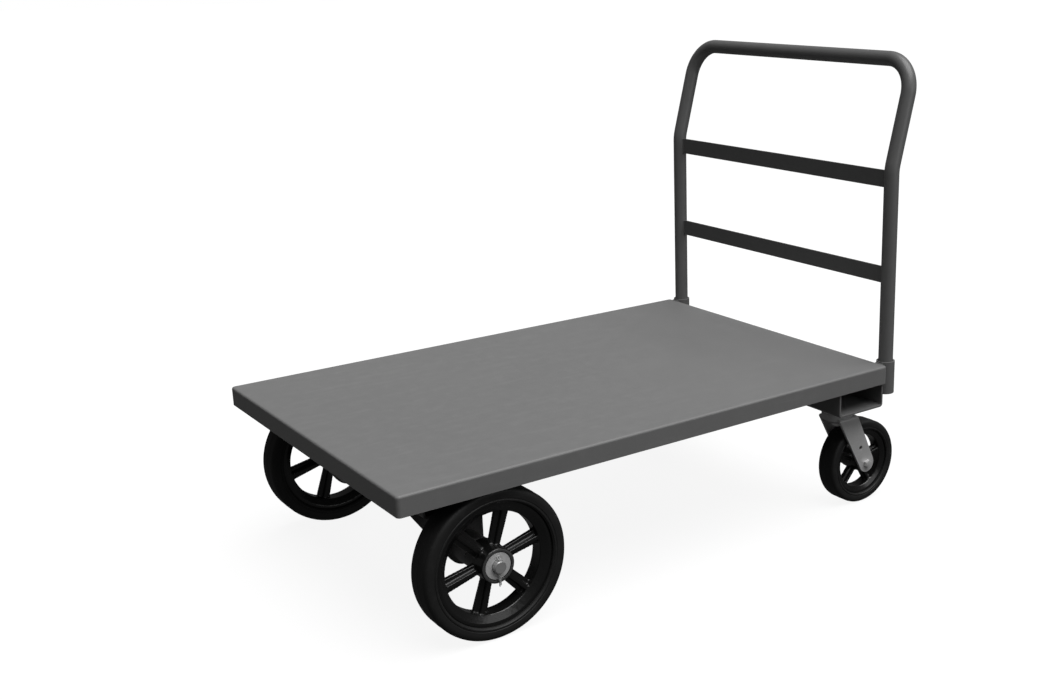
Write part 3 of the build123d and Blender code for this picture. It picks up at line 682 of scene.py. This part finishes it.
# %% Bevelled copies of CAD nodes
def soften(node, body, slot, finish, width, corner=35):
    bm = bmesh.new()
    bm.from_mesh(nodes[node].data)
    bmesh.ops.remove_doubles(bm, verts=bm.verts, dist=1e-6)
    bmesh.ops.dissolve_limit(bm, angle_limit=math.radians(0.5), verts=bm.verts, edges=bm.edges)
    sharp = [edge for edge in bm.edges
             if edge.is_manifold and edge.calc_face_angle() > math.radians(corner)]
    bmesh.ops.bevel(bm, geom=sharp, offset=width * MM, segments=2, profile=0.5, affect="EDGES",
                    clamp_overlap=True)
    mesh = to_mesh(bm, f"{node}_soft")
    mesh.polygons.foreach_set("use_smooth", [True] * len(mesh.polygons))
    made = add_object("soft", mesh)
    made.modifiers.new("flat faces", "WEIGHTED_NORMAL")
    settle(f"{node}_finished", evaluated(made), finish, body, slot, node, sharp=60)


soften("axle_channel", "chassis", "frame_paint", frame_enamel, 0.8)
soften("caster_channel", "chassis", "frame_paint", frame_enamel, 0.8)
for bar in ("upper_crossbar", "lower_crossbar"):
    soften(bar, "handle", "handle_paint", bar_enamel, 0.7)
for side in SIDES:
    soften(f"axle_hanger_{side}", "chassis", "frame_paint", frame_enamel, 1.0)
    soften(f"axle_boss_{side}", "chassis", "frame_paint", frame_enamel, 0.8)
    soften(f"handle_socket_{side}", "chassis", "frame_paint", frame_enamel, 0.6)
    soften(f"caster_plate_{side}", "chassis", "zinc_steel", plated, 0.6)
    soften(f"caster_fork_{side}", f"caster_fork_{side}", "zinc_steel", fork_zinc, 0.9)
    soften(f"inner_washer_{side}", "chassis", "zinc_steel", plated, 0.5)
    soften(f"outer_washer_{side}", "chassis", "zinc_steel", plated, 0.5)

# %% [markdown]
# ## Hexagon heads and nuts
# A hexagon nut is cut from bar and its corners are turned off at about thirty degrees, which
# leaves a round face with six curved edges. That edge is where a flat of the hexagon meets the
# cone, so the height of the chamfer at any angle follows from the hexagon's radius there.

# %% Hexagon with turned corners
def go_round(rows, closed):
    """Skin rows of (x, y, z), in millimetres, that go once round +Z; closed rows have a bore."""
    bm = bmesh.new()
    made = [[bm.verts.new(Vector(spot) * MM) for spot in row] for row in rows]
    for first, second in zip(made, made[1:] + made[:1]):
        for k in range(len(first) if closed else len(first) - 1):
            ahead = (k + 1) % len(first)
            bm.faces.new((first[k], second[k], second[ahead], first[ahead]))
    tidy(bm)
    return bm


def spread(outline, angle):
    return [(radius * math.cos(angle), radius * math.sin(angle), z) for radius, z in outline]


def hexagon(across, height, bore=0.0, slope=0.5, steps=96):
    """A nut or head that stands on the XY plane, in millimetres, chamfered at the top."""
    face, foot_chamfer, bore_chamfer = 0.47 * across, 0.3, 0.6
    rows = []
    for k in range(steps):
        angle = 2 * math.pi * k / steps
        flat = (angle + math.pi / 6) % (math.pi / 3) - math.pi / 6
        radius = across / 2 / math.cos(flat)
        drop = (radius - face) * slope
        outline = [(bore, 0.0), (radius - foot_chamfer, 0.0), (radius, foot_chamfer),
                   (radius, height - drop), (face, height)]
        outline += [(bore + bore_chamfer, height), (bore, height - bore_chamfer)] if bore else [(0.0, height)]
        rows.append(spread(outline, angle))
    return go_round(rows, bool(bore))


def stud(radius, length, tip=1.0, thread=0.0, pitch=1.5, groove=0.45, steps=48):
    """A round bar along +Z with a chamfered tip; its thread is a row of fine grooves."""
    outline = [(0.0, 0.0), (radius, 0.0)]
    for k in range(int(thread / pitch)):
        start = length - tip - thread + k * pitch
        outline += [(radius, start), (radius - groove, start + pitch / 2)]
    outline += [(radius, length - tip), (radius - tip, length), (0.0, length)]
    return go_round([spread(outline, 2 * math.pi * k / steps) for k in range(steps)], False)


def stand(bm, axis, place):
    """Turn a shape from +Z to an axis and move it to its place."""
    turned_to = Vector((0, 0, 1)).rotation_difference(Vector(axis)).to_matrix()
    bmesh.ops.rotate(bm, verts=bm.verts, matrix=turned_to)
    bmesh.ops.translate(bm, verts=bm.verts, vec=place)
    return bm


def joined(*shapes):
    whole = bmesh.new()
    for shape in shapes:
        whole.from_mesh(to_mesh(shape, "shape"))
    return whole


# %% [markdown]
# The caster's axle is a hexagon bolt with its head outside and a lock nut inside. All lengths
# along the bolt come from the boxes of the bolt, the nut and the fork.

# %% Caster axle bolts and nuts
AXLE_BOLT_RADIUS, KINGPIN_RADIUS, THREAD_LENGTH = 6.35, 8.0, 14.0

for side, outward in SIDES.items():
    body = f"caster_fork_{side}"
    bolt_low, bolt_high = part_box(f"caster_axle_bolt_{side}")
    fork_low, fork_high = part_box(f"caster_fork_{side}")
    nut_low, nut_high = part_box(f"caster_axle_nut_{side}")
    centre = (bolt_low + bolt_high) / 2
    head_face = fork_low.y if outward < 0 else fork_high.y
    head_end = bolt_low.y if outward < 0 else bolt_high.y
    tip_end = bolt_high.y if outward < 0 else bolt_low.y
    nut_face = fork_high.y if outward < 0 else fork_low.y
    head_height = abs(head_end - head_face) / MM
    across = (nut_high.z - nut_low.z) / MM * math.cos(math.pi / 6)
    across = min(across, (nut_high.x - nut_low.x) / MM)
    head = stand(hexagon(across, head_height), (0, outward, 0), (centre.x, head_face, centre.z))
    shank = stud(AXLE_BOLT_RADIUS, abs(tip_end - head_face) / MM, thread=THREAD_LENGTH)
    stand(shank, (0, -outward, 0), (centre.x, head_face, centre.z))
    settle(f"caster_axle_bolt_{side}_turned", to_mesh(joined(head, shank), "bolt"), bolt_zinc, body,
           "zinc_steel", f"caster_axle_bolt_{side}")
    nut = hexagon(across, (nut_high.y - nut_low.y) / MM, bore=AXLE_BOLT_RADIUS)
    stand(nut, (0, -outward, 0), (centre.x, nut_face, centre.z))
    settle(f"caster_axle_nut_{side}_turned", to_mesh(nut, "nut"), bolt_zinc, body, "zinc_steel",
           f"caster_axle_nut_{side}")
    nut_low, nut_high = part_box(f"kingpin_nut_{side}")
    centre = (nut_low + nut_high) / 2
    across = min(nut_high.x - nut_low.x, nut_high.y - nut_low.y) / MM
    nut = hexagon(across, (nut_high.z - nut_low.z) / MM, bore=KINGPIN_RADIUS)
    stand(nut, (0, 0, -1), (centre.x, centre.y, nut_high.z))
    settle(f"kingpin_nut_{side}_turned", to_mesh(nut, "nut"), bolt_zinc, "chassis", "zinc_steel",
           f"kingpin_nut_{side}")

# %% [markdown]
# ## Sweeping a section along a line
# The handle is one bent tube and a cotter pin is one bent wire. Both are a section carried along
# a line with rounded corners. The pin's line is flat, so one direction of its section can stay
# with the axle all the way.

# %% Arcs and sweeps
AXLE_WAY = Vector((0, 1, 0))


def bent_line(corners, steps=20):
    """Points of a line whose corners (point, radius) are replaced with arcs."""
    line = []
    for k, (here, radius) in enumerate(corners):
        if not radius:
            line.append(here)
            continue
        line += corner_arc(corners[k - 1][0], here, corners[k + 1][0], radius, steps)
    return line


def sweep(bm, line, section):
    """Carry a closed section (sideways, along the axle) along a line that is flat in XZ."""
    rings = []
    for k, here in enumerate(line):
        ahead = (line[min(k + 1, len(line) - 1)] - line[max(k - 1, 0)]).normalized()
        if k in (0, len(line) - 1):
            stretch = 1.0
        else:
            first = (here - line[k - 1]).normalized()
            stretch = 1 / max(0.5, math.cos(first.angle((line[k + 1] - here).normalized(), 0) / 2))
        sideways = ahead.cross(AXLE_WAY).normalized()
        over = sideways.cross(ahead).normalized()
        rings.append([bm.verts.new(here + sideways * u * stretch + over * v) for u, v in section])
    for first, second in zip(rings, rings[1:]):
        for k in range(len(section)):
            ahead = (k + 1) % len(section)
            bm.faces.new((first[k], first[ahead], second[ahead], second[k]))
    return rings

# %% [markdown]
# The handle stands in its sockets, leans back above the knee and closes over the top. That line
# isn't flat, so no fixed direction suits it. The sideways direction at each point is the last
# one less its part along the line, so the frame is carried along without twist.

# %% Handle tube
def handle_line(low, high, radius):
    foot_x, top_x = low.x + radius, high.x - radius
    side_y, top_z = high.y - radius, high.z - radius
    knee_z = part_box("upper_crossbar")[1].z + 5 * MM
    knee_bend, top_bend = 100 * MM, 76.2 * MM
    half = [(Vector((foot_x, -side_y, low.z)), 0), (Vector((foot_x, -side_y, knee_z)), knee_bend),
            (Vector((top_x, -side_y, top_z)), top_bend)]
    other = [(Vector((spot.x, -spot.y, spot.z)), bend) for spot, bend in reversed(half)]
    return bent_line(half + other, 24)


def round_tube(line, radius, wall, sides=64):
    """A tube with open ends along any smooth line, with a frame that is carried without twist."""
    bm = bmesh.new()
    shells = []
    for size_of in (radius, radius - wall):
        rings, sideways = [], Vector((1, 0, 0))
        for k, here in enumerate(line):
            ahead = (line[min(k + 1, len(line) - 1)] - line[max(k - 1, 0)]).normalized()
            sideways = (sideways - ahead * sideways.dot(ahead)).normalized()
            over = ahead.cross(sideways)
            ring = []
            for step in range(sides):
                angle = 2 * math.pi * step / sides
                outward = sideways * math.cos(angle) + over * math.sin(angle)
                ring.append(bm.verts.new(here + outward * size_of))
            rings.append(ring)
        shells.append(rings)
        for first, second in zip(rings, rings[1:]):
            for step in range(sides):
                ahead = (step + 1) % sides
                bm.faces.new((first[step], first[ahead], second[ahead], second[step]))
    for end in (0, -1):
        outer, inner = shells[0][end], shells[1][end]
        for step in range(sides):
            ahead = (step + 1) % sides
            bm.faces.new((outer[step], outer[ahead], inner[ahead], inner[step]))
    tidy(bm)
    return bm


tube_low, tube_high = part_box("handle_tube")
tube_radius, tube_wall = 16.7 * MM, 3.4 * MM
handle = round_tube(handle_line(tube_low, tube_high, tube_radius), tube_radius, tube_wall)
settle("handle_tube_bent", to_mesh(handle, "handle"), handle_enamel, "handle", "handle_paint", "handle_tube")

# %% [markdown]
# ## Cotter pins
# A cotter pin is half-round wire folded on itself: an eye at the top, two flat-faced legs side
# by side through the axle, and the ends bent a little apart so that it can't fall out.

# %% Cotter pins
def cotter(side):
    low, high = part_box(f"cotter_pin_{side}")
    centre = (low + high) / 2
    eye, wire = 4.2 * MM, 1.55 * MM
    eye_z = high.z - 5.8 * MM
    bore_z = axle_centre.z
    line = []
    ends = ((-1, low.z + 0.4 * MM), (1, low.z + 2.5 * MM))
    for way, stop in ends:
        leg = [Vector((way * 1.6 * MM, 0, stop)), Vector((way * 1.35 * MM, 0, bore_z - 17 * MM)),
               Vector((way * 1.35 * MM, 0, bore_z + 12 * MM)), Vector((way * 1.6 * MM, 0, eye_z - 5.2 * MM))]
        line.append(leg if way < 0 else leg[::-1])
    loop = []
    eye_start, eye_turn, eye_steps = -112, 316, 24
    for step in range(eye_steps + 1):
        angle = math.radians(eye_start - eye_turn * step / eye_steps)
        loop.append(Vector((eye * math.cos(angle), 0, eye_z + eye * math.sin(angle))))
    path = [spot + Vector((centre.x, centre.y, 0)) for spot in line[0] + loop + line[1]]
    section = []
    for step in range(13):
        angle = math.radians(-90 + 180 * step / 12)
        section.append((wire * math.cos(angle) * 0.9 - 0.2 * MM, wire * math.sin(angle)))
    bm = bmesh.new()
    rings = sweep(bm, path, [(-u, v) for u, v in section])
    bm.faces.new(rings[0])
    bm.faces.new(rings[-1])
    tidy(bm)
    settle(f"cotter_pin_{side}_bent", to_mesh(bm, "cotter"), pin_zinc, "chassis", "zinc_steel",
           f"cotter_pin_{side}", sharp=50)


for side in SIDES:
    cotter(side)

# %% [markdown]
# ## Weld beads
# The sockets, crossbars, hangers and channels are arc welded. A bead is a low rounded ridge whose
# pool froze in steps, so it has ripples about two millimetres apart. One tree makes them all: it
# resamples each path, swells and shrinks the radius along its length, and sweeps a circle.

# %% Tree: rippled bead along a path
def bead_tree():
    tree = Growth("rippled_bead", Width=0.0022, Pitch=0.0021, Ripple=0.14, Wander=0.22, Seed=1,
                  Material="NodeSocketMaterial")
    given = tree.given
    path = tree.node("GeometryNodeMeshToCurve", None, {"Mesh": given["Geometry"]})
    feeds = {"Curve": path, "Length": given["Pitch"] / 5}
    fine = tree.node("GeometryNodeResampleCurve", {"mode": "LENGTH"}, feeds)
    along = tree.node("GeometryNodeSplineParameter", out=1)
    wave = tree.maths_of("SINE", along * (2 * math.pi) / given["Pitch"])
    feeds = {"Scale": 160.0, "Detail": 1.0, "W": given["Seed"]}
    patchy = tree.node("ShaderNodeTexNoise", {"noise_dimensions": "4D"}, feeds)
    swell = (wave * given["Ripple"] + 1.0) * ((patchy - 0.5) * given["Wander"] * 2 + 1.0)
    feeds = {"Resolution": 10, "Radius": 1.0}
    ring = tree.node("GeometryNodeCurvePrimitiveCircle", {"mode": "RADIUS"}, feeds)
    feeds = {"Curve": fine, "Profile Curve": ring, "Scale": given["Width"] * swell, "Fill Caps": True}
    tree.end(tree.node("GeometryNodeCurveToMesh", None, feeds))
    return tree.tree


bead = bead_tree()


def weld(name, body, slot, finish, paths, width, seed):
    """One mesh with a bead along every path; a path is a list of points."""
    mesh = bpy.data.meshes.new(name)
    points, edges = [], []
    for path in paths:
        start = len(points)
        points += [tuple(spot) for spot in path]
        edges += [(start + k, start + k + 1) for k in range(len(path) - 1)]
    mesh.from_pydata(points, edges, [])
    grown = grow(bead, mesh, Width=width * MM, Seed=seed, Material=finish)
    bm = bmesh.new()
    bm.from_mesh(grown)
    tidy(bm)
    settle(name, to_mesh(bm, name), finish, body, slot, sharp=70)


# %% [markdown]
# Each path follows the line where two nodes meet. A socket has two upright beads on the rear
# flange and a short one along the deck's edge. A crossbar is welded down its edges, a hanger is
# welded along the channel and round its boss, and the channels are stitched to the deck.

# %% Weld paths
def arc_path(centre, radius, start, stop, normal_y, steps=60):
    spots = []
    for k in range(steps + 1):
        angle = math.radians(start + (stop - start) * k / steps)
        x, z = centre.x + radius * math.cos(angle), centre.z + radius * math.sin(angle)
        spots.append(Vector((x, normal_y, z)))
    return spots


flange_low = deck_high.z - 41.3 * MM
socket_radius, socket_setback = 21.1 * MM, 19.9 * MM
socket_paths, top_paths, hanger_paths, boss_paths = [], [], [], []
for side, outward in SIDES.items():
    low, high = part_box(f"handle_socket_{side}")
    half_flat = math.sqrt(socket_radius ** 2 - socket_setback ** 2)
    for way in (-1, 1):
        y = (low.y + high.y) / 2 + way * (half_flat + 4.5 * MM)
        socket_paths.append([Vector((deck_high.x + 1.4 * MM, y, flange_low + 2 * MM)),
                             Vector((deck_high.x + 1.4 * MM, y, deck_high.z - 3 * MM))])
    y = (low.y + high.y) / 2
    top_paths.append([Vector((deck_high.x - 0.8 * MM, y - 11 * MM, deck_high.z - 0.8 * MM)),
                      Vector((deck_high.x - 0.8 * MM, y + 11 * MM, deck_high.z - 0.8 * MM))])
    low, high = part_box(f"axle_hanger_{side}")
    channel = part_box("axle_channel")[0].z
    for y in (low.y, high.y):
        hanger_paths.append([Vector((low.x + 6 * MM, y, channel)), Vector((high.x - 6 * MM, y, channel))])
    low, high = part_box(f"axle_boss_{side}")
    plate = high.y if outward < 0 else low.y
    boss_paths.append(arc_path((low + high) / 2, (high.x - low.x) / 2, -60, 240, plate))
weld("socket_welds", "chassis", "frame_paint", frame_enamel, socket_paths, 2.6, 3)
weld("socket_top_welds", "chassis", "frame_paint", frame_enamel, top_paths, 1.9, 4)
weld("hanger_welds", "chassis", "frame_paint", frame_enamel, hanger_paths + boss_paths, 2.4, 5)

bar_paths = []
for bar in ("upper_crossbar", "lower_crossbar"):
    low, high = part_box(bar)
    for way in (-1, 1):
        y = way * (tube_high.y - 2 * tube_radius + 0.1 * MM)
        inset = 0.6 * MM
        for x in (low.x, high.x):
            bar_paths.append([Vector((x, y, low.z + inset)), Vector((x, y, high.z - inset))])
weld("crossbar_welds", "handle", "handle_paint", handle_enamel, bar_paths, 1.5, 7)

stitches = []
for channel in ("axle_channel", "caster_channel"):
    low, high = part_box(channel)
    gap, bead_length = 150 * MM, 38 * MM
    count = int((high.y - low.y - 40 * MM) / gap)
    for x in (low.x, high.x):
        for k in range(count + 1):
            y = -count * gap / 2 + k * gap
            stitches.append([Vector((x, y - bead_length / 2, high.z - 0.6 * MM)),
                             Vector((x, y + bead_length / 2, high.z - 0.6 * MM))])
low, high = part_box("deck_stiffener")
for y in (low.y, high.y):
    for k in range(6):
        x = low.x + (high.x - low.x) * (k + 0.5) / 6
        stitches.append([Vector((x - 19 * MM, y, high.z - 0.6 * MM)),
                         Vector((x + 19 * MM, y, high.z - 0.6 * MM))])
for side in SIDES:
    low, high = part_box(f"caster_plate_{side}")
    for y in (low.y, high.y):
        stitches.append([Vector((low.x + 12 * MM, y, high.z - 0.6 * MM)),
                         Vector((high.x - 12 * MM, y, high.z - 0.6 * MM))])
weld("stitch_welds", "chassis", "frame_paint", frame_enamel, stitches, 2.2, 9)
print("weld paths", len(socket_paths + top_paths + hanger_paths + boss_paths + bar_paths + stitches))

# %% [markdown]
# ## The studio
# The cart stands on plain white paper under one broad, even light, as in a catalogue. A sun with
# a wide angle is that light: it is soft, and as strong on the far floor as on the near. It leans
# to the cart's left, so the deck is the lightest face, the long flange is half as light, and the
# front flange is dark. The paper lights nothing itself, which keeps the undersides deep.

# %% Floor
def make_floor():
    reach = 40.0
    mesh = bpy.data.meshes.new("floor")
    corners = [(-reach, -reach, 0), (reach, -reach, 0), (reach, reach, 0), (-reach, reach, 0)]
    mesh.from_pydata(corners, [], [(0, 1, 2, 3)])
    floor = add_object("floor", mesh)
    finish = Finish("floor_paper", Roughness=0.9, Specular_IOR_Level=0.0, Emission_Color=(1, 1, 1, 1),
                    Emission_Strength=0.90)
    paper = finish.blend(finish.noise(1.2, 3.0, 0.5), grey(0.13), grey(0.14))
    mesh.materials.append(finish.feed(Base_Color=paper))
    floor.visible_diffuse = False
    floor.visible_glossy = False


make_floor()

# %% Lights
def aim(lamp, place, target):
    lamp.location = place
    lamp.rotation_mode = "QUATERNION"
    lamp.rotation_quaternion = (Vector(target) - Vector(place)).to_track_quat("-Z", "Y")


def sky(name, place, strength, softness):
    light = bpy.data.lights.new(name, "SUN")
    light.energy = strength
    light.angle = math.radians(softness)
    aim(add_object(name, light), place, (0, 0, 0))


def softbox(name, place, width, height, power, shine=True):
    light = bpy.data.lights.new(name, "AREA")
    light.shape = "RECTANGLE"
    light.size = width
    light.size_y = height
    light.energy = power
    lamp = add_object(name, light)
    lamp.visible_glossy = shine
    aim(lamp, place, (0.0, 0.0, 0.4))


sky("overhead", (0.25, -0.55, 2.0), strength=3.2, softness=60)
softbox("near_light", (1.2, -3.4, 1.5), width=2.2, height=1.6, power=12)
softbox("back_light", (3.2, 2.6, 2.0), width=2.2, height=2.0, power=34, shine=False)

# %% [markdown]
# The world is white to the eye, so that the paper runs on without a horizon, but gives only a
# weak fill to the cart.

# %% World
def make_world(fill):
    world = bpy.data.worlds.new("studio")
    world.use_nodes = True
    bench = Bench()
    bench.tree = world.node_tree
    seen = bench.node("ShaderNodeLightPath")
    strength = seen * (1.0 - fill) + fill
    background = bench.tree.nodes["Background"]
    bench.tree.links.new(strength.socket, background.inputs["Strength"])
    background.inputs["Color"].default_value = (1, 1, 1, 1)
    bpy.context.scene.world = world
    bpy.context.scene.view_settings.view_transform = "Standard"


make_world(fill=0.06)

# %% [markdown]
# ## The camera
# The camera stands ahead of the cart on its left, at chest height, and looks slightly down. Its
# three angles are a heading, a downward tilt and a very small roll.

# %% Camera
def aim_camera(place, heading, tilt, roll, lens, shift):
    heading, tilt, roll = (math.radians(angle) for angle in (heading, tilt, roll))
    ahead = Vector((math.sin(heading) * math.cos(tilt), math.cos(heading) * math.cos(tilt), -math.sin(tilt)))
    level = Vector((math.cos(heading), -math.sin(heading), 0))
    over = level.cross(ahead)
    right = level * math.cos(roll) + over * math.sin(roll)
    up = over * math.cos(roll) - level * math.sin(roll)
    data = bpy.data.cameras.new("camera")
    data.lens = lens
    data.shift_x = shift
    camera = bpy.data.objects.new("camera", data)
    camera.matrix_world = Matrix.Translation(place) @ Matrix((right, up, -ahead)).transposed().to_4x4()
    bpy.context.scene.collection.objects.link(camera)
    bpy.context.scene.camera = camera


aim_camera((-1.579, -2.420, 1.244), heading=37.08, tilt=16.40, roll=-0.79, lens=45.66, shift=-0.1356)
